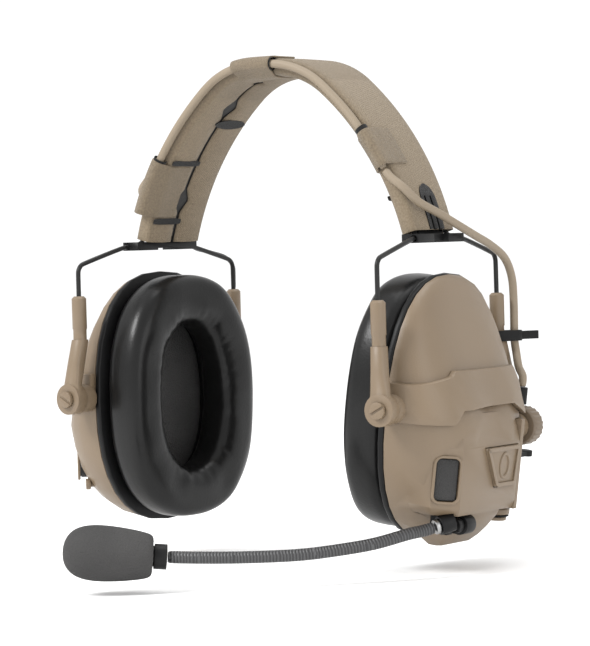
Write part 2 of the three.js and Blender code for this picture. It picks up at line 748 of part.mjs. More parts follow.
// ---------- right cup ----------
// The unused boom socket is closed by a small cap in a flat seat on the front of the dome.
const BLANK = { radius: 2.4, thickness: 2, stem: 1.3, length: 3 };
const blankSeat = V(11.3, -31.2, -38);
const blankAxis = V(0.64, -0.77, 0).normalize();
const onBlankAxis = (distance) => blankSeat.clone().addScaledVector(blankAxis, distance);
const blankRod = (radius, from, to) => rod(radius, onBlankAxis(from), onBlankAxis(to), 16);
node(
  cups.right,
  "right_cup_shell",
  shell(dome(0), RIGHT_PATCH_INSET, [
    blankRod(BLANK.radius + CLEARANCE, 0, 12),
    blankRod(BLANK.stem + CLEARANCE, -12, 1),
  ]),
  TAN_PLASTIC,
);
node(
  cups.right,
  "right_blanking_cap",
  join(
    blankRod(BLANK.radius, CLEARANCE, CLEARANCE + BLANK.thickness),
    blankRod(BLANK.stem, -BLANK.length, CLEARANCE + 0.5),
  ),
  TAN_PLASTIC,
);

// Thin lead from the splice, down behind the rear wire and into the rear arm beside the wire leg.
const LEAD_ROUTE = [
  toSide(onArch(68.5, cableHigh, SPLICE.rear + CLEARANCE)),
  toSide(onArch(68.5, cableHigh + 0.4, SPLICE.rear + 4)),
  V(-0.4, 17.5, -57.5),
  V(2, 22.9, -65.5),
  V(2.6, 25.6, -70.1),
  V(2.6, 37.6, -73.2),
  V(2.6, 48.6, -76),
  V(2.2, 52.4, -79.5),
  V(1.5, 51.8, -84.5),
  V(1.45, LEG_SPREAD + 2, ARM_TOP + CLEARANCE),
];
node(rightSide, "right_lead", tube(smooth(LEAD_ROUTE, 30), LEAD_RADIUS), BLACK_RUBBER);

// ---------- left cup ----------
// Sections of the lower module and of the chin below it, as [x, y] corners at a height.
const sections = (list) => loft(list.map(([z, corners]) => corners.map(([x, y]) => V(x, y, z))));
const lowerModule = sections([
  [-1, [[5, -27.5], [13.5, -29], [20, -22.5], [20.8, 16], [17, 22], [5, 24]]],
  [-7, [[5, -30], [14, -31.5], [21.5, -24.5], [22.3, 18], [18, 24], [5, 26]]],
  [-14, [[5, -37], [15.6, -36.6], [24.4, -27.5], [24.5, 24], [22, 27], [5, 30]]],
  [-38, [[5, -34], [15.6, -35], [24.6, -26.5], [24.6, 24], [22, 27], [5, 28]]],
  [-41.5, [[5, -31], [14.6, -32], [23, -24.5], [23.2, 22], [21, 25], [5, 26]]],
]);
const chin = sections([
  [-37, [[0, -27], [19, -27], [22, -22], [22, 16], [17, 24], [0, 26]]],
  [-44, [[0, -25], [18, -25], [20.5, -20], [20.5, 14], [15, 24], [0, 25]]],
  [-50, [[1, -21], [14, -21], [16, -17], [16, 14], [12, 23], [1, 24]]],
  [-54, [[2.5, -16], [10, -16], [12, -13], [12, 15], [9.5, 21], [2.5, 22]]],
  [-57, [[4, -12], [7.5, -12], [9, -10], [9, 13], [7, 17], [4, 18]]],
]);

// Control pod: the rear corner of the left cup, with the battery bore and the knob bearing.
function podLevel(z, rear) {
  const cornerY = POD_SLOPE.y + (POD.outer - POD_SLOPE.x) / POD_SLOPE.rate;
  const rearX = POD_SLOPE.x + POD_SLOPE.rate * (rear - POD_SLOPE.y);
  const corners = [
    [POD.inner, POD.front],
    [POD.outer, POD.front],
    [POD.outer, cornerY],
    [rearX, rear],
    [POD.inner, rear],
  ];
  return [z, corners];
}
const batteryFoot = POD.foot + CAP.stem + CLEARANCE;
const batteryHead = batteryFoot + BATTERY.length;
const springFoot = batteryHead + CLEARANCE;
const springHead = springFoot + 1.6;
const bearingRadius = ENCODER.radius + CLEARANCE + 1.1;
const bearingEnd = KNOB.from - 0.9;
const onKnob = (radius, y0, y1, sides) => rodY(radius, y0, y1, KNOB.x, KNOB.z, sides);
const inBattery = (radius, z0, z1) => rodZ(radius, z0, z1, BATTERY.x, BATTERY.y);
const onPlug = (radius, y0, y1) => rodY(radius, y0, y1, PLUG.x, PLUG.z, 16);
const plugDepth = 2.6;
node(
  cups.left,
  "control_pod",
  cut(
    join(
      sections([
        podLevel(POD.foot, POD.footRear),
        podLevel(POD.foot + 14, POD.rear),
        podLevel(POD.top, POD.rear),
      ]),
      onKnob(bearingRadius, ENCODER.from - 4, bearingEnd),
    ),
    inBattery(CAP.neck + CLEARANCE, POD.foot - 5, springHead + CLEARANCE),
    onKnob(ENCODER.radius + CLEARANCE, ENCODER.from - CLEARANCE, ENCODER.to + CLEARANCE),
    onKnob(KNOB.shaft + CLEARANCE, ENCODER.to, KNOB.from + 1, 12),
    onPlug(PLUG.radius + CLEARANCE, POD.rear - plugDepth, POD.rear + 5),
  ),
  TAN_PLASTIC,
);
node(
  cups.left,
  "volume_encoder",
  join(
    onKnob(ENCODER.radius, ENCODER.from, ENCODER.to),
    onKnob(KNOB.shaft, ENCODER.to - 1, KNOB.to - 3, 12),
  ),
  PALE_STEEL,
);

// Knob with ribs round its rim and a blind bore for the encoder's shaft.
function volumeKnob() {
  const ribbed = (y, radius, groove) =>
    Array.from({ length: 2 * KNOB_RIBS }, (_, i) => {
      const turn = (Math.PI * i) / KNOB_RIBS;
      const r = radius - (i % 2) * groove;
      return V(KNOB.x + r * Math.cos(turn), y, KNOB.z + r * Math.sin(turn));
    });
  const body = loft([
    ribbed(KNOB.from, KNOB.radius - 1, 0),
    ribbed(KNOB.from + 0.9, KNOB.radius, 0.5),
    ribbed(KNOB.to - 0.8, KNOB.radius, 0.5),
    ribbed(KNOB.to, KNOB.radius - 1, 0),
  ]);
  return cut(body, onKnob(KNOB.shaft + CLEARANCE, KNOB.from - 1, KNOB.to - 3 + CLEARANCE, 12));
}
node(cups.left, "volume_knob", volumeKnob(), TAN_PLASTIC);

// Battery, its spring, and the screw cap that closes the bore from below.
const underPod = (geometry) => geometry.translate(BATTERY.x, BATTERY.y, POD.foot);
const capSlot = box(-0.7, 0.7, -8, 8, -CAP.length - 1, 1 - CAP.length);
const capProfile = [
  [CAP.foot, -CAP.length],
  [CAP.foot, 1.4 - CAP.length],
  [CAP.core, 1.4 - CAP.length],
  [CAP.core, 2.7 - CAP.length],
  [CAP.flange, 2.7 - CAP.length],
  [CAP.flange, -1.9],
  [CAP.neck, -1.9],
  [CAP.neck, CAP.stem],
];
node(cups.left, "battery_cap", underPod(cut(turned(capProfile), capSlot)), TAN_PLASTIC);
const ringBore = CAP.core + CLEARANCE;
const ringFoot = 1.4 - CAP.length + CLEARANCE;
const ringProfile = [
  [ringBore, ringFoot],
  [CAP.ring, ringFoot],
  [CAP.ring, ringFoot + 0.6],
  [ringBore, ringFoot + 0.6],
];
node(cups.left, "battery_cap_ring", underPod(turned(ringProfile, true)), BLACK_RUBBER);
node(cups.left, "battery", inBattery(BATTERY.radius, batteryFoot, batteryHead), PALE_STEEL);
const contactSpring = turned([
  [2, springFoot],
  [4.4, springHead],
]).translate(BATTERY.x, BATTERY.y, 0);
node(cups.left, "battery_contact_spring", contactSpring, SPRING_STEEL);

// Rubber port plug with a flat pull tab.
const plugFace = POD.rear + CLEARANCE;
node(
  cups.left,
  "port_plug",
  join(
    onPlug(PLUG.radius, plugFace - plugDepth + 0.2, plugFace + 1),
    onPlug(PLUG.flange, plugFace, plugFace + 1.6),
    box(PLUG.x - 2.6, PLUG.x + 2.6, plugFace + 1, PLUG.tab - 3, PLUG.z - 1, PLUG.z + 1),
    rodZ(3.4, PLUG.z - 1.2, PLUG.z + 1.2, PLUG.x, PLUG.tab - 3.6, 16),
  ),
  BLACK_RUBBER,
);

// Push button in the outer face, with the switch and the board behind it.
const buttonOutline = (grow) => [
  [BUTTON.front - grow, BUTTON.top + grow],
  [BUTTON.rear + grow, BUTTON.top + grow],
  [BUTTON.rear - 1.8 + grow, BUTTON.foot - grow],
  [BUTTON.front + 10.2 - grow, BUTTON.foot - grow],
];
const buttonBack = BUTTON.face - BUTTON.depth;
node(cups.left, "push_button", plate(buttonOutline(0), buttonBack, BUTTON.face), TAN_PLASTIC);
const boardFace = BOARD.x + BOARD.thickness;
const switchAt = (x) => V(x, (BUTTON.front + BUTTON.rear) / 2 + 3, (BUTTON.top + BUTTON.foot) / 2);
const switchBody = new THREE.BoxGeometry(3.6, 6, 6);
const bodyMiddle = switchAt(boardFace + CLEARANCE + 1.8);
switchBody.translate(bodyMiddle.x, bodyMiddle.y, bodyMiddle.z);
node(
  cups.left,
  "button_switch",
  join(
    switchBody,
    rod(1.75, switchAt(boardFace + 3), switchAt(buttonBack - BUTTON_TRAVEL - CLEARANCE), 12),
  ),
  BLACK_PLASTIC,
);
node(
  cups.left,
  "circuit_board",
  box(BOARD.x, boardFace, BOARD.front, BOARD.rear, BOARD.foot, BOARD.top),
  BOARD_GREEN,
);

// ---------- boom ----------
// Where the gooseneck leaves its socket, and the way it points there.
const boomStart = V(17.6, -29.2, -45.6);
const boomAxis = V(-0.55, -0.77, -0.32).normalize();
const onBoomAxis = (distance) => boomStart.clone().addScaledVector(boomAxis, distance);

// Block in the shell's front corner: the boom's socket on its inner side, the screw's lobe outside.
function mountBlock(grow, open) {
  const { inner, outer, front, rear, foot, top } = BOOM_MOUNT;
  const far = open ? 60 : 0;
  const level = [foot - grow, top + grow];
  const lobeFront = THUMB.to + CLEARANCE + 0.5;
  return join(
    box(inner - grow, outer + grow + far, front - grow - far, -22.4 + grow, ...level),
    box(inner - grow, 16.4 + grow + far, front + 1, rear + grow, ...level),
    box(inner - grow, outer + grow + far, lobeFront - far, rear + grow, ...level),
    rodY(THUMB.lobe + grow, lobeFront - far, rear + grow, THUMB.x, THUMB.z),
    rod(SOCKET_RADIUS + grow, onBoomAxis(-SOCKET_LENGTH - grow), onBoomAxis(far)),
  );
}
const thumbHole = rodY(THUMB.shank + CLEARANCE, THUMB.from, -12, THUMB.x, THUMB.z, 12);
const ferruleShank = FERRULE_RADIUS - 0.5;
node(
  cups.left,
  "boom_mount",
  cut(
    mountBlock(0, false),
    rod(ferruleShank + CLEARANCE, onBoomAxis(-4.5), onBoomAxis(5)),
    thumbHole,
  ),
  BLACK_PLASTIC,
);
node(
  cups.left,
  "boom_thumb_screw",
  cut(
    join(
      rodY(THUMB.radius, THUMB.from, THUMB.to, THUMB.x, THUMB.z, 20),
      rodY(THUMB.shank, THUMB.to - 0.5, -12.5, THUMB.x, THUMB.z, 12),
    ),
    box(-5, 5, -3, 0.8, -0.5, 0.5).rotateY(0.7).translate(THUMB.x, THUMB.from, THUMB.z),
  ),
  BLACK_PLASTIC,
);
node(
  cups.left,
  "boom_ferrule",
  join(
    rod(ferruleShank, onBoomAxis(-4), onBoomAxis(1), 20),
    rod(FERRULE_RADIUS, onBoomAxis(CLEARANCE), onBoomAxis(2.2), 20),
  ),
  PALE_STEEL,
);

// The gooseneck's route is chosen by hand, and it ends in line with the microphone.
const micStart = V(-63.7, -110.2, -63.5);
const micAxis = V(-0.81, -0.585, -0.02).normalize();
const onMic = (distance) => micStart.clone().addScaledVector(micAxis, distance);
const GOOSENECK_ROUTE = [
  onBoomAxis(2.2 + CLEARANCE),
  onBoomAxis(6),
  V(11.4, -41, -48.6),
  V(2.9, -54, -52.9),
  V(-6.9, -64.6, -56),
  V(-17.2, -74.6, -58.6),
  V(-28.2, -84.2, -60.3),
  V(-39.6, -93.3, -61.7),
  V(-51.4, -102, -62.8),
  onMic(-COLLAR_LENGTH - CLEARANCE),
];
const gooseneck = tube(smooth(GOOSENECK_ROUTE, 26), GOOSENECK_RADIUS, 10);
node(cups.left, "gooseneck", gooseneck, SPRING_STEEL);
node(
  cups.left,
  "microphone",
  join(
    rod(COLLAR_RADIUS, onMic(-COLLAR_LENGTH), onMic(0)),
    rod(CAPSULE_RADIUS, onMic(-1), onMic(CAPSULE_LENGTH), 16),
  ),
  BLACK_PLASTIC,
);
// Foam windscreen, as shares of its radius and length from the collar to the rounded tip.
const windscreenProfile = [
  [0.72, 0],
  [0.82, 0.09],
  [0.94, 0.33],
  [1, 0.6],
  [0.94, 0.78],
  [0.76, 0.91],
  [0.42, 0.985],
  [0.12, 1],
].map(([r, share]) => [r * WINDSCREEN_RADIUS, CLEARANCE + share * WINDSCREEN_LENGTH]);
node(
  cups.left,
  "windscreen",
  cut(
    along(turned(windscreenProfile), micStart, micAxis),
    rod(CAPSULE_RADIUS + CLEARANCE, onMic(-1), onMic(CAPSULE_LENGTH + CLEARANCE), 16),
  ),
  DARK_FOAM,
);

// ---------- left shell, cut to all that is let into it ----------
const podSpace = box(
  POD.inner - CLEARANCE,
  60,
  POD.front - CLEARANCE,
  60,
  POD.foot - CLEARANCE,
  POD.top + CLEARANCE,
);
node(
  cups.left,
  "left_cup_shell",
  shell(join(dome(0), lowerModule, chin), 0, [
    podSpace,
    inBattery(CAP.flange + 0.5, -70, POD.foot + 1),
    glandSpace(),
    plate(buttonOutline(CLEARANCE), boardFace, 40),
    mountBlock(CLEARANCE, true),
  ]),
  TAN_PLASTIC,
);
node(cups.left, "left_cable_gland", gland(), BLACK_RUBBER);

// ---------- cable to the left cup, and its tie ----------
const LEFT_TOP = ARM_TOP - LEFT_DROP;
const TIE = { x: 5, y: 55.2, top: -16, height: 4.5, wall: 1.1, tail: 8.5 };
const tieFoot = TIE.top - TIE.height;
const tieMiddle = LEFT_TOP + (TIE.top + tieFoot) / 2;
const LEFT_BOW_ROUTE = [
  toSide(cableOnBand(62.3)),
  toSide(cableOnBand(64.3, 6)),
  toSide(onArch(66.6, 8.9, -17.4)),
  V(-2.4, -12.5, -54),
  V(0.8, -1, -59.2),
  V(4.6, 8.5, -64.3),
  V(5.3, 22.2, -69),
  V(5, 37, -73.5),
  V(5, 49, -79.3),
  V(5, 54.4, -87),
  V(5, 55.5, -97),
  V(TIE.x, TIE.y, tieMiddle + CLEARANCE / 2),
];
node(leftSide, "left_cable_bow", tube(smooth(LEFT_BOW_ROUTE, 36), CABLE_RADIUS), TAN_RUBBER);

cups.left.updateWorldMatrix(true, false);
const fromLeftCup = (x, y, z) => toSide(cups.left.localToWorld(V(x, y, z)));
const LEFT_TAIL_ROUTE = [
  V(TIE.x, TIE.y, tieMiddle - CLEARANCE / 2),
  V(TIE.x, TIE.y, LEFT_TOP + tieFoot),
  V(6.3, 54, -118.5),
  V(10, 49, -125),
  fromLeftCup(GLAND.x, GLAND.y + 0.6, GLAND.top + 4),
  fromLeftCup(GLAND.x, GLAND.y, GLAND.top + CLEARANCE),
];
node(leftSide, "left_cable_tail", tube(smooth(LEFT_TAIL_ROUTE, 12), CABLE_RADIUS), TAN_RUBBER);

// Outline round two circles, for the loop of the tie.
function aroundTwo(a, ra, b, rb, z) {
  const away = Math.atan2(b.y - a.y, b.x - a.x);
  const meet = Math.acos((ra - rb) / Math.hypot(b.x - a.x, b.y - a.y));
  const arc = (centre, r, from, to) =>
    Array.from({ length: 10 }, (_, i) => {
      const turn = away + from + ((to - from) * i) / 9;
      return V(centre.x + r * Math.cos(turn), centre.y + r * Math.sin(turn), z);
    });
  return [...arc(a, ra, meet, 2 * Math.PI - meet), ...arc(b, rb, -meet, meet)];
}
function cableTie() {
  const armAt = { x: 0.2, y: LEG_SPREAD + 0.2 };
  const armRound = ARM_RADIUS + CLEARANCE + 0.45;
  const cableRound = CABLE_RADIUS + CLEARANCE;
  const loop = (grow, z) => aroundTwo(armAt, armRound + grow, TIE, cableRound + grow, z);
  const hoop = ring([
    loop(TIE.wall, tieFoot),
    loop(TIE.wall, TIE.top),
    loop(0, TIE.top),
    loop(0, tieFoot),
  ]);
  const tailFrom = cableRound + TIE.wall / 2;
  const tail = box(tailFrom, tailFrom + TIE.tail, -0.7, 0.7, tieFoot + 0.5, TIE.top - 0.5)
    .rotateZ(55 * RAD)
    .translate(TIE.x, TIE.y, 0);
  return join(hoop, tail).translate(0, 0, LEFT_TOP);
}
node(leftSide, "cable_tie", cableTie(), BLACK_RUBBER);

export default headset;
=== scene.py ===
# Over-ear radio headset on a pale studio floor: a sprung wire headband in a sewn fabric cover,
# two tan cups on sliding arms, glossy ear cushions, and a boom microphone on the left cup.
import bpy
import json
import math
from mathutils import Matrix, Vector, noise


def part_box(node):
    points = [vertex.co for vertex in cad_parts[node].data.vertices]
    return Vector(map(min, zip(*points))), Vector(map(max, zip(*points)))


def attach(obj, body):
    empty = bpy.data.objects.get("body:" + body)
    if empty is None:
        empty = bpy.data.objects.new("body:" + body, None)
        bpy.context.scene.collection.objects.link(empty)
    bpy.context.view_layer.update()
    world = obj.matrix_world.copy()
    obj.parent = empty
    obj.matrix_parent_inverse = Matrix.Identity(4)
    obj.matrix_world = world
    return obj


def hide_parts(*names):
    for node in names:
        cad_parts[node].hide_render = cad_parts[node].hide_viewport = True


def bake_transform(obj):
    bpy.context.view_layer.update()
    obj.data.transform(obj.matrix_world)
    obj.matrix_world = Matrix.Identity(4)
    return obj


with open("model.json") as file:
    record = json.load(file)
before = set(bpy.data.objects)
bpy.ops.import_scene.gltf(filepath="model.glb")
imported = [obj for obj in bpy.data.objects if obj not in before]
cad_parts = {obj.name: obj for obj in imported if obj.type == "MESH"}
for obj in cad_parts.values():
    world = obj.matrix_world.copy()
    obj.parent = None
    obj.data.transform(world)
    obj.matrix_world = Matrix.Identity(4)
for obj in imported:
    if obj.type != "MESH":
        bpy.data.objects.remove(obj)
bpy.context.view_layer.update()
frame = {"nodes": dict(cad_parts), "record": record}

body_of_node = {}
for body_name, node_names in frame["record"]["behaviour"]["bodies"].items():
    for node_name in node_names:
        body_of_node[node_name] = body_name

# ---------- camera ----------
# A long lens a little above the middle of the object, from its front left corner.
azimuth = math.radians(36)
elevation = math.radians(1.08)
distance = 1.361
lens_tip = math.radians(1.515)
lens_roll = math.radians(-1.67)
bpy.ops.object.select_all(action="DESELECT")
bpy.ops.object.camera_add()
camera = bpy.context.object
camera.name = "studio_camera"
camera.data.sensor_fit = "VERTICAL"
camera.data.sensor_height = 36
camera.data.lens = 3223 / 646 * 36
camera.data.clip_end = 60
facing = (Matrix.Rotation(azimuth, 4, "Z") @ Matrix.Rotation(math.pi / 2 - lens_tip, 4, "X")
          @ Matrix.Rotation(lens_roll, 4, "Z"))
stand_at = Vector((math.sin(azimuth) * math.cos(elevation), -math.cos(azimuth) * math.cos(elevation),
                   math.sin(elevation))) * distance + Vector((0, 0, -0.0935))
camera.matrix_world = Matrix.Translation(stand_at) @ facing
bpy.context.scene.camera = camera

# ---------- floor and light ----------
# Seamless pale floor, one large soft key light over the left shoulder, a fill and a top light.
bpy.ops.mesh.primitive_plane_add(size=60, location=(0, 0, -0.2055))
floor = bpy.context.object
floor.name = "studio_floor"
paper = bpy.data.materials.new("floor_paper")
paper.use_nodes = True
paper_shader = paper.node_tree.nodes["Principled BSDF"]
paper_shader.inputs["Base Color"].default_value = (0.97, 0.97, 0.97, 1)
paper_shader.inputs["Roughness"].default_value = 0.9
floor.data.materials.append(paper)

world = bpy.data.worlds.new("studio_air")
world.use_nodes = True
world.node_tree.nodes["Background"].inputs["Color"].default_value = (1, 1, 1, 1)
world.node_tree.nodes["Background"].inputs["Strength"].default_value = 1.08
bpy.context.scene.world = world
bpy.context.scene.view_settings.view_transform = "Standard"


def softbox(name, place, aim, size, watts):
    bpy.ops.object.light_add(type="AREA", location=place)
    lamp = bpy.context.object
    lamp.name = name
    lamp.data.size = size
    lamp.data.energy = watts
    lamp.rotation_euler = (Vector(aim) - Vector(place)).to_track_quat("-Z", "Y").to_euler()


softbox("key_light", (-0.5, -1.1, 0.9), (0, 0, -0.1), 0.5, 20)
softbox("fill_light", (1.5, -0.3, 0.3), (0, 0, -0.1), 0.9, 5)
softbox("top_light", (0.1, 0.2, 1.1), (0, 0, -0.1), 0.8, 6)


# ---------- shared surface effects ----------
# Fine moulded grain: a colour that drifts a little, with an uneven gloss and a shallow texture.
def effect(name, outputs, inputs):
    group = bpy.data.node_groups.new(name, "ShaderNodeTree")
    for label, kind, value in inputs:
        made = group.interface.new_socket(label, in_out="INPUT", socket_type=kind)
        made.default_value = value
    for label, kind in outputs:
        group.interface.new_socket(label, in_out="OUTPUT", socket_type=kind)
    enter = group.nodes.new("NodeGroupInput")
    leave = group.nodes.new("NodeGroupOutput")
    return group, enter, leave


COLOUR, NUMBER, ARROW = "NodeSocketColor", "NodeSocketFloat", "NodeSocketVector"
grain, grain_in, grain_out = effect(
    "moulded_grain",
    [("Colour", COLOUR), ("Roughness", NUMBER), ("Normal", ARROW)],
    [("Light colour", COLOUR, (0.4, 0.3, 0.2, 1)), ("Dark colour", COLOUR, (0.3, 0.22, 0.15, 1)),
     ("Drift scale", NUMBER, 40), ("Grain scale", NUMBER, 2600), ("Grain depth", NUMBER, 0.00004),
     ("Smooth", NUMBER, 0.45), ("Rough", NUMBER, 0.6)],
)


def build_grain():
    n, link = grain.nodes, grain.links.new
    place = n.new("ShaderNodeTexCoord")
    drift = n.new("ShaderNodeTexNoise")
    drift.inputs["Detail"].default_value = 5
    link(place.outputs["Object"], drift.inputs["Vector"])
    link(grain_in.outputs["Drift scale"], drift.inputs["Scale"])
    fine = n.new("ShaderNodeTexNoise")
    fine.inputs["Detail"].default_value = 3
    link(place.outputs["Object"], fine.inputs["Vector"])
    link(grain_in.outputs["Grain scale"], fine.inputs["Scale"])
    mix = n.new("ShaderNodeMix")
    mix.data_type = "RGBA"
    link(drift.outputs["Fac"], mix.inputs["Factor"])
    link(grain_in.outputs["Dark colour"], mix.inputs[6])
    link(grain_in.outputs["Light colour"], mix.inputs[7])
    link(mix.outputs[2], grain_out.inputs["Colour"])
    gloss = n.new("ShaderNodeMapRange")
    link(drift.outputs["Fac"], gloss.inputs["Value"])
    link(grain_in.outputs["Smooth"], gloss.inputs["To Min"])
    link(grain_in.outputs["Rough"], gloss.inputs["To Max"])
    link(gloss.outputs["Result"], grain_out.inputs["Roughness"])
    bump = n.new("ShaderNodeBump")
    bump.inputs["Strength"].default_value = 1
    link(grain_in.outputs["Grain depth"], bump.inputs["Distance"])
    link(fine.outputs["Fac"], bump.inputs["Height"])
    link(bump.outputs["Normal"], grain_out.inputs["Normal"])


build_grain()


def finish_of(name, light, dark, smooth, rough, grain_scale=2600, depth=0.00004, metal=0, sheen=0, coat=0,
              specular=0.5):
    made = bpy.data.materials.new(name)
    made.use_nodes = True
    tree = made.node_tree
    shader = tree.nodes["Principled BSDF"]
    group = tree.nodes.new("ShaderNodeGroup")
    group.node_tree = grain
    for label, value in (("Light colour", (*light, 1)), ("Dark colour", (*dark, 1)), ("Smooth", smooth),
                         ("Rough", rough), ("Grain scale", grain_scale), ("Grain depth", depth)):
        group.inputs[label].default_value = value
    tree.links.new(group.outputs["Colour"], shader.inputs["Base Color"])
    tree.links.new(group.outputs["Roughness"], shader.inputs["Roughness"])
    tree.links.new(group.outputs["Normal"], shader.inputs["Normal"])
    shader.inputs["Metallic"].default_value = metal
    shader.inputs["Sheen Weight"].default_value = sheen
    shader.inputs["Coat Weight"].default_value = coat
    shader.inputs["Specular IOR Level"].default_value = specular
    return made


tan_plastic = finish_of("tan_moulding", (0.182, 0.132, 0.083), (0.15, 0.108, 0.068), 0.36, 0.5, depth=0.00006)
tan_knob = finish_of("tan_knob_moulding", (0.145, 0.107, 0.07), (0.12, 0.088, 0.058), 0.45, 0.6)
tan_rubber = finish_of("cable_jacket", (0.235, 0.188, 0.133), (0.2, 0.158, 0.11), 0.5, 0.7, 900, 0.00004)
black_plastic = finish_of("black_moulding", (0.007, 0.007, 0.0072), (0.004, 0.004, 0.0042), 0.35, 0.55,
                          specular=0.2)
black_rubber = finish_of("black_rubber", (0.006, 0.006, 0.006), (0.0035, 0.0035, 0.0035), 0.45, 0.7, 1500,
                         specular=0.2)
dark_foam = finish_of("open_foam", (0.075, 0.073, 0.072), (0.03, 0.03, 0.03), 0.9, 1, 1500, 0.0005,
                      specular=0.2)
black_steel = finish_of("coated_spring_steel", (0.03, 0.03, 0.03), (0.012, 0.012, 0.012), 0.3, 0.5,
                        700, 0.00004, metal=0.5, specular=0.3)
bright_steel = finish_of("bright_steel", (0.4, 0.4, 0.39), (0.28, 0.28, 0.28), 0.25, 0.4, 900, 0.00002,
                         metal=1)
solder_mask = finish_of("solder_mask", (0.03, 0.12, 0.06), (0.02, 0.09, 0.04), 0.35, 0.5)


# ---------- moulded and turned pieces ----------
# Rigid pieces keep their machined shape and gain the small edge radius that a mould leaves.
def take_shape(node, name):
    bpy.ops.object.select_all(action="DESELECT")
    piece = bpy.data.objects.new(name, frame["nodes"][node].data.copy())
    bpy.context.collection.objects.link(piece)
    piece.data.materials.clear()
    piece.select_set(True)
    bpy.context.view_layer.objects.active = piece
    bpy.ops.object.mode_set(mode="EDIT")
    bpy.ops.mesh.select_all(action="SELECT")
    bpy.ops.mesh.remove_doubles(threshold=0.00002)
    bpy.ops.object.mode_set(mode="OBJECT")
    return piece


def moulded(node, finish, edge=0.0004, smooth_angle=32):
    piece = take_shape(node, node + "_skin")
    bpy.ops.object.mode_set(mode="EDIT")
    bpy.ops.mesh.select_all(action="SELECT")
    if node not in ("headband_pad", "band_strip"):
        bpy.ops.mesh.dissolve_limited(angle_limit=math.radians(1))
    bpy.ops.object.mode_set(mode="OBJECT")
    bevel = piece.modifiers.new("edge_radius", "BEVEL")
    bevel.width = edge
    bevel.segments = 2
    bevel.limit_method = "ANGLE"
    bevel.angle_limit = math.radians(smooth_angle)
    bpy.ops.object.modifier_apply(modifier="edge_radius")
    bpy.ops.object.shade_smooth_by_angle(angle=math.radians(smooth_angle + 8))
    piece.data.materials.append(finish)
    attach(piece, body_of_node[node])
    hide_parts(node)
    return piece


def drawn(node, finish, rounds=2, held=True):
    piece = take_shape(node, node + "_skin")
    bpy.ops.object.mode_set(mode="EDIT")
    bpy.ops.mesh.select_all(action="SELECT")
    bpy.ops.mesh.tris_convert_to_quads()
    bpy.ops.object.mode_set(mode="OBJECT")
    smooth = piece.modifiers.new("smooth", "SUBSURF")
    smooth.levels = rounds
    smooth.render_levels = rounds
    bpy.ops.object.modifier_apply(modifier="smooth")
    bpy.ops.object.shade_smooth()
    piece.data.materials.append(finish)
    if held:
        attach(piece, body_of_node[node])
    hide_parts(node)
    return piece

# ---------- headband cover ----------
# Two flaps of woven fabric sewn over a flat pad, with a slit along the inside where they meet.
# The weave follows the band's own length and width.
CROWN_FLAT = 0.004
CROWN_RADIUS = 0.035
CROWN_ANGLE = math.radians(40)
SIDE_RADIUS = 0.118
TOE = math.radians(4.2)
LEG_OUT = 0.07315


def arch_at(degrees, offset, y):
    side = -1 if degrees < 0 else 1
    angle = math.radians(abs(degrees))
    crown = min(angle, CROWN_ANGLE)
    x = CROWN_FLAT + CROWN_RADIUS * math.sin(crown) + offset * math.sin(angle)
    z = CROWN_RADIUS * (math.cos(crown) - 1) + offset * math.cos(angle)
    if angle > crown:
        x += SIDE_RADIUS * (math.sin(angle) - math.sin(crown))
        z += SIDE_RADIUS * (math.cos(angle) - math.cos(crown))
    x *= side
    return Vector((x * (1 - y * math.tan(TOE) / LEG_OUT), y, z))


def edges_at(degrees):
    narrow = 0.0025 * abs(degrees) / 75
    return narrow - 0.018, 0.0205 - narrow


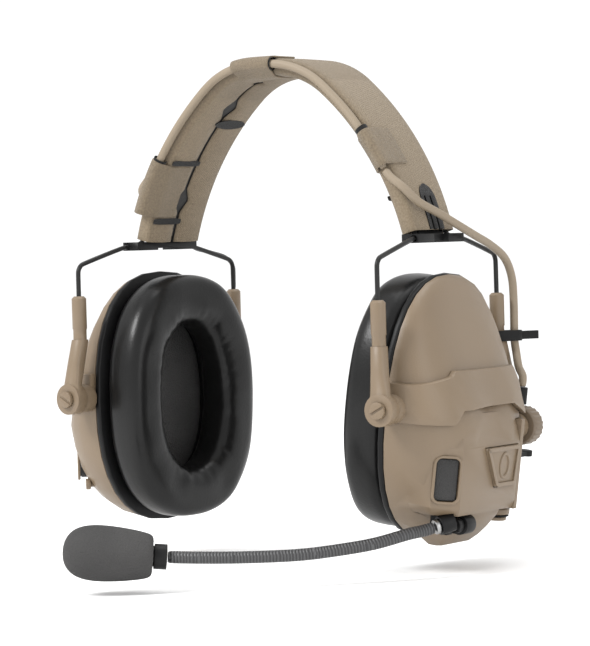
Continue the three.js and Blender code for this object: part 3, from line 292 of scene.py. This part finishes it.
def woven(name, light, dark, threads_across, threads_along, depth=0.5):
    made = bpy.data.materials.new(name)
    made.use_nodes = True
    tree = made.node_tree
    n, link = tree.nodes, tree.links.new
    shader = n["Principled BSDF"]
    where = n.new("ShaderNodeTexCoord")
    split = n.new("ShaderNodeSeparateXYZ")
    link(where.outputs["UV"], split.inputs["Vector"])
    waves = []
    for axis, threads in (("X", threads_along), ("Y", threads_across)):
        scale = n.new("ShaderNodeMath")
        scale.operation = "MULTIPLY"
        scale.inputs[1].default_value = threads * 2 * math.pi
        link(split.outputs[axis], scale.inputs[0])
        wave = n.new("ShaderNodeMath")
        wave.operation = "SINE"
        link(scale.outputs["Value"], wave.inputs[0])
        waves.append(wave)
    cross = n.new("ShaderNodeMath")
    cross.operation = "MULTIPLY"
    link(waves[0].outputs["Value"], cross.inputs[0])
    link(waves[1].outputs["Value"], cross.inputs[1])
    fuzz = n.new("ShaderNodeTexNoise")
    fuzz.inputs["Scale"].default_value = 1500
    fuzz.inputs["Detail"].default_value = 4
    link(where.outputs["Object"], fuzz.inputs["Vector"])
    heather = n.new("ShaderNodeTexNoise")
    heather.inputs["Scale"].default_value = 1300
    heather.inputs["Detail"].default_value = 6
    link(where.outputs["Object"], heather.inputs["Vector"])
    cloth = n.new("ShaderNodeMix")
    cloth.data_type = "RGBA"
    cloth.inputs[6].default_value = (*dark, 1)
    cloth.inputs[7].default_value = (*light, 1)
    contrast = n.new("ShaderNodeMapRange")
    contrast.inputs["From Min"].default_value = 0.3
    contrast.inputs["From Max"].default_value = 0.7
    link(heather.outputs["Fac"], contrast.inputs["Value"])
    link(contrast.outputs["Result"], cloth.inputs["Factor"])
    link(cloth.outputs[2], shader.inputs["Base Color"])
    height = n.new("ShaderNodeMath")
    height.operation = "ADD"
    link(cross.outputs["Value"], height.inputs[0])
    link(fuzz.outputs["Fac"], height.inputs[1])
    bump = n.new("ShaderNodeBump")
    bump.inputs["Distance"].default_value = 0.00018
    bump.inputs["Strength"].default_value = depth
    link(height.outputs["Value"], bump.inputs["Height"])
    link(bump.outputs["Normal"], shader.inputs["Normal"])
    shader.inputs["Roughness"].default_value = 0.92
    shader.inputs["Sheen Weight"].default_value = 0.15
    shader.inputs["Specular IOR Level"].default_value = 0.2
    return made


band_fabric = woven("band_fabric", (0.235, 0.187, 0.128), (0.165, 0.128, 0.086), 90, 360, 0.6)
band_lining = woven("band_lining", (0.012, 0.012, 0.012), (0.007, 0.007, 0.007), 90, 360, 0.3)
SLIT_Y = 0.0005
NOTCHES = (-66, -43, -20, 24, 52)


def cover_section(degrees):
    front, rear = edges_at(degrees)
    gap = 0.0008
    for notch in NOTCHES:
        gap += 0.0032 * max(0, 1 - abs(degrees - notch) / 2.6)
    wave = 0.0004 * noise.noise(Vector((degrees * 0.09, 2, 1)))
    left_side = [(gap, 0.0021), (gap + 0.0001, 0.0006), (gap + 0.0006, 0.0001), (0.0058, wave - 0.0006),
                 (0.0105, -0.0006 - wave)]
    rear_part = [(y + SLIT_Y, o) for y, o in left_side] + [
        (rear - 0.0018, 0.0001), (rear - 0.0006, 0.0005), (rear - 0.0001, 0.0016), (rear, 0.0035),
        (rear - 0.0001, 0.0052), (rear - 0.0006, 0.0065), (rear - 0.002, 0.0071), (0.012, 0.0072 + wave)]
    front_part = [(-0.01, 0.0072 - wave), (front + 0.002, 0.0071), (front + 0.0006, 0.0065),
                  (front + 0.0001, 0.0052), (front, 0.0035), (front + 0.0001, 0.0016),
                  (front + 0.0006, 0.0005), (front + 0.0018, 0.0001)]
    flap = [(SLIT_Y - y, o) for y, o in reversed(left_side)]
    return rear_part + [(0.001, 0.0073)] + front_part + flap


def band_skin(name, low, high, steps, section, finish, closed=True, lining=None):
    count = len(section(0))
    bpy.ops.object.select_all(action="DESELECT")
    bpy.ops.mesh.primitive_grid_add(x_subdivisions=steps, y_subdivisions=count if closed else count - 1,
                                    size=1)
    skin = bpy.context.object
    skin.name = name
    skin.data.materials.append(finish)
    if lining:
        skin.data.materials.append(lining)
        for face in skin.data.polygons:
            row = int((face.center.y + 0.5) * count)
            face.material_index = 1 if row in (0, count - 2, count - 1) else 0
    for vertex in skin.data.vertices:
        along = round((vertex.co.x + 0.5) * steps)
        across = round((vertex.co.y + 0.5) * (count if closed else count - 1)) % count
        degrees = low + (high - low) * along / steps
        y, offset = section(degrees)[across]
        vertex.co = arch_at(degrees, offset, y)
    skin.location = (0, 0, 0)
    bpy.ops.object.mode_set(mode="EDIT")
    bpy.ops.mesh.select_all(action="SELECT")
    bpy.ops.mesh.remove_doubles(threshold=0.00001)
    bpy.ops.mesh.normals_make_consistent(inside=False)
    bpy.ops.object.mode_set(mode="OBJECT")
    return skin


cover = band_skin("cover_fabric", -75, 75, 220, cover_section, band_fabric, lining=band_lining)
bpy.ops.object.select_all(action="DESELECT")
cover.select_set(True)
bpy.context.view_layer.objects.active = cover
bpy.ops.object.shade_smooth_by_angle(angle=math.radians(50))
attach(cover, "headband")
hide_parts("headband_cover")


# ---------- cable loops ----------
# Three sewn fabric keepers that hold the cable against the front edge of the cover.
def keeper(name, low, high, whole):
    def section(degrees):
        front, rear = edges_at(degrees)
        centre = front - 0.00225
        points = []
        if whole:
            points += [(rear + 0.0006, 0.0035), (rear + 0.0004, 0.0008), (rear - 0.001, -0.0006)]
        points += [(0.008 if whole else -0.0035, -0.0006), (-0.006, -0.0006), (front + 0.0035, -0.0006),
                   (front + 0.0008, -0.0002), (front - 0.0012, 0.0014)]
        for turn in (250, 225, 200, 175, 150, 125, 100):
            angle = math.radians(turn)
            points.append((centre + 0.0026 * math.cos(angle), 0.0049 + 0.0026 * math.sin(angle)))
        points += [(front + 0.0008, 0.0078), (front + 0.004, 0.0077), (-0.007, 0.0077),
                   (-0.003 if not whole else 0.006, 0.0077)]
        if whole:
            points += [(rear - 0.0015, 0.0077), (rear + 0.0003, 0.0066)]
        return points

    strip = band_skin(name, low, high, 12, section, band_fabric, closed=whole)
    thick = strip.modifiers.new("cloth", "SOLIDIFY")
    thick.thickness = 0.0008
    thick.offset = 0
    soft = strip.modifiers.new("soft", "BEVEL")
    soft.width = 0.00025
    soft.segments = 2
    bpy.ops.object.select_all(action="DESELECT")
    strip.select_set(True)
    bpy.context.view_layer.objects.active = strip
    bpy.ops.object.modifier_apply(modifier="cloth")
    bpy.ops.object.modifier_apply(modifier="soft")
    bpy.ops.object.shade_smooth_by_angle(angle=math.radians(45))
    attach(strip, "headband")


# Cut edges of the flaps, the eyelets where the cable leaves a keeper, and the end slot, all black.
def black_cut(name, low, high, first, last, offset, power):
    def section(degrees):
        share = 2 * (degrees - low) / (high - low) - 1
        lens = max(0.05, 1 - abs(share) ** power) ** (1 / power)
        middle = (first + last) / 2
        half = (last - first) / 2 * lens
        return [(middle - half, offset), (middle, offset), (middle + half, offset)]

    strip = band_skin(name, low, high, 8, section, band_lining, closed=False)
    thick = strip.modifiers.new("depth", "SOLIDIFY")
    thick.thickness = 0.0004
    thick.offset = 0
    bpy.ops.object.select_all(action="DESELECT")
    strip.select_set(True)
    bpy.context.view_layer.objects.active = strip
    bpy.ops.object.modifier_apply(modifier="depth")
    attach(strip, "headband")


black_cut("cut_front_upper", -57.7, -56.5, -0.0165, 0.0012, -0.0006, 6)
black_cut("cut_front_lower", -71.0, -69.7, -0.016, 0.0012, -0.0011, 6)
black_cut("cut_rear_flap", -48.2, -45.8, -0.003, 0.0165, -0.0006, 2)
black_cut("cut_left_flap", 66.6, 67.8, -0.0155, 0.001, -0.0004, 6)


def eyelet(name, low, high):
    def section(degrees):
        front = edges_at(degrees)[0]
        ring = []
        for step in range(14):
            angle = 2 * math.pi * step / 14
            ring.append((front - 0.00205 + 0.0025 * math.cos(angle), 0.0049 + 0.0029 * math.sin(angle)))
        return ring

    hole = band_skin(name, low, high, 2, section, band_lining)
    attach(hole, "headband")


eyelet("eyelet_crown", 2.4, 4.0)
eyelet("eyelet_left", 52.6, 53.8)
eyelet("eyelet_right", -58.3, -57.5)


def end_slot(degrees):
    half = 0.0058 * math.sqrt(max(0.01, min(1, 1 - ((69 - min(69, degrees)) / 3.2) ** 2)))
    return [(0.0026 - half, 0.0075), (0.0026, 0.0076), (0.0026 + half, 0.0075)]


slot_lining = band_skin("end_slot_lining", 65.8, 74.9, 14, end_slot, band_lining, closed=False)
slot_depth = slot_lining.modifiers.new("depth", "SOLIDIFY")
slot_depth.thickness = 0.0004
slot_depth.offset = 0
bpy.ops.object.modifier_apply(modifier="depth")
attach(slot_lining, "headband")

for number, (first, last) in enumerate(((-0.0008, 0.0012), (0.0036, 0.0056))):
    bar = band_skin(f"slot_rib_{number}", 68.4, 75, 6,
                    lambda degrees, a=first, b=last: [(a, 0.0076), (a, 0.0084), (b, 0.0084), (b, 0.0076)],
                    black_plastic)
    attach(bar, "headband")

keeper("keeper_crown", -13, 3, False)
keeper("keeper_left", 53.5, 61.5, False)
keeper("keeper_right", -69.5, -58, False)


for node in ("left_end_bracket", "right_end_bracket", "band_strip"):
    moulded(node, black_plastic, 0.0005)
moulded("headband_pad", dark_foam, 0.0004)
for node in ("front_spring_wire", "rear_spring_wire"):
    drawn(node, black_steel)
drawn("band_cable", tan_rubber)

# The free runs of cable, whose ends are held on two bodies, are attached to neither body and keep their shape
# baked in place.
bow = drawn("left_cable_bow", tan_rubber, held=False)
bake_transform(bow)
tail = drawn("left_cable_tail", tan_rubber, held=False)
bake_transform(tail)
lead = drawn("right_lead", black_rubber, held=False)
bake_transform(lead)

moulded("cable_splice", tan_rubber, 0.0008)
moulded("cable_tie", black_rubber, 0.0002)

for hand in ("left", "right"):
    for place in ("front", "rear"):
        moulded(f"{hand}_{place}_arm", tan_plastic, 0.0005)
        moulded(f"{hand}_{place}_pivot_screw", tan_plastic, 0.00025)
    moulded(f"{hand}_cup_shell", tan_plastic, 0.0008, 38)
    moulded(f"{hand}_cup_strap", tan_plastic, 0.0005, 38)
    moulded(f"{hand}_base_plate", black_plastic, 0.0006)
    moulded(f"{hand}_speaker_baffle", black_plastic, 0.0002)
    moulded(f"{hand}_speaker", bright_steel, 0.0002)
    moulded(f"{hand}_hearing_mic", bright_steel, 0.0002)
    moulded(f"{hand}_acoustic_foam", dark_foam, 0.0006)
    moulded(f"{hand}_hearing_foam", dark_foam, 0.0007)
moulded("right_blanking_cap", tan_plastic, 0.0003)
moulded("control_pod", tan_plastic, 0.0007)
moulded("volume_knob", tan_knob, 0.0002)
moulded("push_button", tan_plastic, 0.0005)
moulded("battery_cap", tan_plastic, 0.0003)
for node in ("battery_cap_ring", "port_plug", "left_cable_gland"):
    moulded(node, black_rubber, 0.0002)
for node in ("battery", "volume_encoder", "boom_ferrule", "battery_contact_spring"):
    moulded(node, bright_steel, 0.0002)
moulded("circuit_board", solder_mask, 0.0001)
for node in ("button_switch", "boom_mount", "boom_thumb_screw", "microphone"):
    moulded(node, black_plastic, 0.0003)
drawn("windscreen", dark_foam, 2)

# ---------- gooseneck ----------
# Close-wound steel coil that holds its bend. The turns follow the length of the neck, along a line
# through the middle of the neck's own solid, from the ferrule to the microphone.
neck = drawn("gooseneck", black_steel)
NECK_STEPS = 24
mic_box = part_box("microphone")
socket_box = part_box("boom_ferrule")
socket_end = (Vector(socket_box[0]) + Vector(socket_box[1])) / 2
chord = (Vector(mic_box[0]) + Vector(mic_box[1])) / 2 - socket_end
bands = [[] for step in range(NECK_STEPS)]
reach = [(v.co - socket_end).dot(chord) / chord.length_squared for v in neck.data.vertices]
shortest, longest = min(reach), max(reach)
for vertex, share in zip(neck.data.vertices, reach):
    band = int((share - shortest) / (longest - shortest) * (NECK_STEPS - 0.001))
    bands[band].append(vertex.co.copy())
neck_points = [sum(band, Vector()) / len(band) for band in bands if band]
along_neck = neck.data.attributes.new("along", "FLOAT", "POINT")
for index, vertex in enumerate(neck.data.vertices):
    best, far = 0, 1
    run = 0
    for a, b in zip(neck_points, neck_points[1:]):
        leg = b - a
        share = min(1.2, max(-0.2, (vertex.co - a).dot(leg) / leg.length_squared))
        gap = (a + leg * share - vertex.co).length
        if gap < far:
            best, far = run + leg.length * share, gap
        run += leg.length
    along_neck.data[index].value = best
coil = bpy.data.materials.new("wound_coil")
coil.use_nodes = True
coil_nodes, coil_link = coil.node_tree.nodes, coil.node_tree.links.new
coil_shader = coil_nodes["Principled BSDF"]
coil_shader.inputs["Metallic"].default_value = 0.35
coil_shader.inputs["Roughness"].default_value = 0.42
length_of = coil_nodes.new("ShaderNodeAttribute")
length_of.attribute_name = "along"
turns = coil_nodes.new("ShaderNodeMath")
turns.operation = "MULTIPLY"
turns.inputs[1].default_value = 2 * math.pi / 0.0013
coil_link(length_of.outputs["Fac"], turns.inputs[0])
rib = coil_nodes.new("ShaderNodeMath")
rib.operation = "SINE"
coil_link(turns.outputs["Value"], rib.inputs[0])
rib_bump = coil_nodes.new("ShaderNodeBump")
rib_bump.inputs["Distance"].default_value = 0.00014
rib_bump.inputs["Strength"].default_value = 0.8
coil_link(rib.outputs["Value"], rib_bump.inputs["Height"])
coil_link(rib_bump.outputs["Normal"], coil_shader.inputs["Normal"])
# Painted shade: the coil's colour follows the same wave as the rib bump, darker in each groove between turns
# and lighter on each crest.
rib_groove_painted_shade = coil_nodes.new("ShaderNodeMapRange")
rib_groove_painted_shade.inputs["From Min"].default_value = -1
coil_link(rib.outputs["Value"], rib_groove_painted_shade.inputs["Value"])
coil_painted_groove_shade = coil_nodes.new("ShaderNodeMix")
coil_painted_groove_shade.data_type = "RGBA"
coil_painted_groove_shade.inputs[6].default_value = (0.03, 0.03, 0.031, 1)
coil_painted_groove_shade.inputs[7].default_value = (0.08, 0.08, 0.082, 1)
coil_link(rib_groove_painted_shade.outputs["Result"], coil_painted_groove_shade.inputs["Factor"])
coil_link(coil_painted_groove_shade.outputs[2], coil_shader.inputs["Base Color"])
neck.data.materials.clear()
neck.data.materials.append(coil)


# ---------- raised details of the left cup ----------
# A rounded lip round each foam patch, and a raised border and a finger dimple on the push button.
PIVOT_OUT = 0.0025
LEFT_TILT = math.radians(8)


# A cup's own frame: out from the head, back along the pivot screws, and up.
def cup_place(hand):
    side = Matrix.Translation((LEG_OUT, 0, 0)) @ Matrix.Rotation(TOE, 4, "Z")
    seat = side @ Matrix.Translation((PIVOT_OUT, 0, 0))
    if hand == "left":
        return Matrix.Translation((0, 0, -0.137)) @ seat @ Matrix.Rotation(LEFT_TILT, 4, "Y")
    outward, rearward = seat.col[0].xyz, seat.col[1].xyz
    mirrored = Matrix(((-outward.x, -rearward.x, 0), (outward.y, rearward.y, 0), (0, 0, 1))).to_4x4()
    return Matrix.Translation((-seat.translation.x, seat.translation.y, -0.1335)) @ mirrored


def relief(name, corners, place, finish, body, round_by, width, thick):
    bpy.ops.object.select_all(action="DESELECT")
    bpy.ops.mesh.primitive_plane_add(size=1)
    piece = bpy.context.object
    piece.name = name
    for vertex, (y, z) in zip(piece.data.vertices, corners):
        vertex.co = (0, y, z)
    bpy.ops.object.mode_set(mode="EDIT")
    bpy.ops.mesh.select_all(action="SELECT")
    bpy.ops.mesh.bevel(offset=round_by, segments=6, affect="VERTICES")
    bpy.ops.mesh.select_all(action="SELECT")
    bpy.ops.mesh.inset(thickness=width)
    bpy.ops.mesh.delete(type="FACE")
    bpy.ops.object.mode_set(mode="OBJECT")
    piece.data.transform(place)
    piece.location = (0, 0, 0)
    wall = piece.modifiers.new("wall", "SOLIDIFY")
    wall.thickness = thick
    wall.offset = 0
    soft = piece.modifiers.new("soft", "BEVEL")
    soft.width = min(thick, width) * 0.4
    soft.segments = 3
    bpy.ops.object.modifier_apply(modifier="wall")
    bpy.ops.object.modifier_apply(modifier="soft")
    bpy.ops.object.mode_set(mode="EDIT")
    bpy.ops.mesh.select_all(action="SELECT")
    bpy.ops.mesh.normals_make_consistent(inside=False)
    bpy.ops.object.mode_set(mode="OBJECT")
    bpy.ops.object.shade_smooth_by_angle(angle=math.radians(50))
    piece.data.materials.append(finish)
    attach(piece, body)
    return piece


def corner_place(hand, out):
    inset = 0 if hand == "left" else 0.0019
    turn = Matrix.Rotation(math.radians(-44), 4, "Z")
    seat = Matrix.Translation((0.0203, -0.0317, -0.0265)) @ turn @ Matrix.Translation((out - inset, 0, 0))
    return cup_place(hand) @ seat


lip = ((-0.0061, -0.0099), (0.0061, -0.0099), (-0.0061, 0.0099), (0.0061, 0.0099))
for hand in ("left", "right"):
    relief(hand + "_patch_lip", lip, corner_place(hand, 0.0002), tan_plastic, hand + "_cup",
           0.0036, 0.0012, 0.0012)
border = ((0.0010, -0.0312), (0.0168, -0.0312), (-0.0092, -0.0148), (0.0186, -0.0148))
relief("button_border", border, cup_place("left") @ Matrix.Translation((0.02545, 0, 0)), tan_plastic,
       "button", 0.0018, 0.0016, 0.0009)

# Oval dimple in the middle of the button, as a low rounded rim.
bpy.ops.object.select_all(action="DESELECT")
bpy.ops.mesh.primitive_torus_add(major_segments=48, minor_segments=10, major_radius=0.0036,
                                 minor_radius=0.0006)
dimple = bpy.context.object
dimple.name = "button_dimple"
dimple.data.transform(cup_place("left") @ Matrix.Translation((0.02525, 0.0068, -0.0226))
                      @ Matrix.Diagonal((1, 1, 1.35, 1)) @ Matrix.Rotation(math.pi / 2, 4, "Y"))
bpy.ops.object.shade_smooth()
dimple.data.materials.append(tan_plastic)
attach(dimple, "button")

# ---------- ear cushions ----------
# Foam ring in a thin glossy skin, drawn tight over its crest and puckered towards the ear opening.
def superellipse(angle, half_width, half_height, squareness):
    c, s = math.cos(angle), math.sin(angle)
    return (math.copysign(abs(c) ** (2 / squareness), c) * half_width - 0.002,
            math.copysign(abs(s) ** (2 / squareness), s) * half_height - 0.001)


cushion_skin = finish_of("cushion_skin", (0.008, 0.008, 0.008), (0.0035, 0.0035, 0.0035), 0.26, 0.4, 900,
                         0.00006, coat=0.05, specular=0.22)
AROUND, ACROSS = 160, 40
for hand in ("left", "right"):
    bpy.ops.object.select_all(action="DESELECT")
    bpy.ops.mesh.primitive_torus_add(major_segments=AROUND, minor_segments=ACROSS,
                                     major_radius=0.04, minor_radius=0.01)
    cushion = bpy.context.object
    cushion.name = hand + "_cushion_leather"
    place = cup_place(hand)
    for index, vertex in enumerate(cushion.data.vertices):
        around = 2 * math.pi * (index // ACROSS) / AROUND
        across = 2 * math.pi * (index % ACROSS) / ACROSS
        share = 0.5 + 0.5 * math.copysign(abs(math.cos(across)) ** 0.72, math.cos(across))
        rise = math.sin(across)
        depth = (0.5 + 0.5 * math.copysign(abs(rise) ** 0.62, rise))
        inner = superellipse(around, 0.0197, 0.0312, 2.2)
        outer = superellipse(around, 0.0398, 0.0521, 2.4)
        pucker = noise.noise(Vector((around * 7.5, 0.4, 3 if hand == "left" else 9)))
        fold = math.exp(-((share - 0.12) / 0.16) ** 2) * max(0, depth - 0.15)
        sag = 0.0009 * noise.noise(Vector((around * 2.2, share * 2, 5)))
        high = 0.0193 * depth - 0.0011 * abs(pucker) * fold + sag * depth
        if depth < 0.04:
            high = 0.0193 * depth
        y = inner[0] + (outer[0] - inner[0]) * share
        z = inner[1] + (outer[1] - inner[1]) * share
        vertex.co = place @ Vector((-0.0071 - high, y, z))
    bpy.ops.object.mode_set(mode="EDIT")
    bpy.ops.mesh.select_all(action="SELECT")
    bpy.ops.mesh.normals_make_consistent(inside=False)
    bpy.ops.object.mode_set(mode="OBJECT")
    bpy.ops.object.shade_smooth()
    cushion.location = (0, 0, 0)
    cushion.data.materials.append(cushion_skin)
    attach(cushion, hand + "_cup")
    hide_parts(hand + "_ear_cushion")
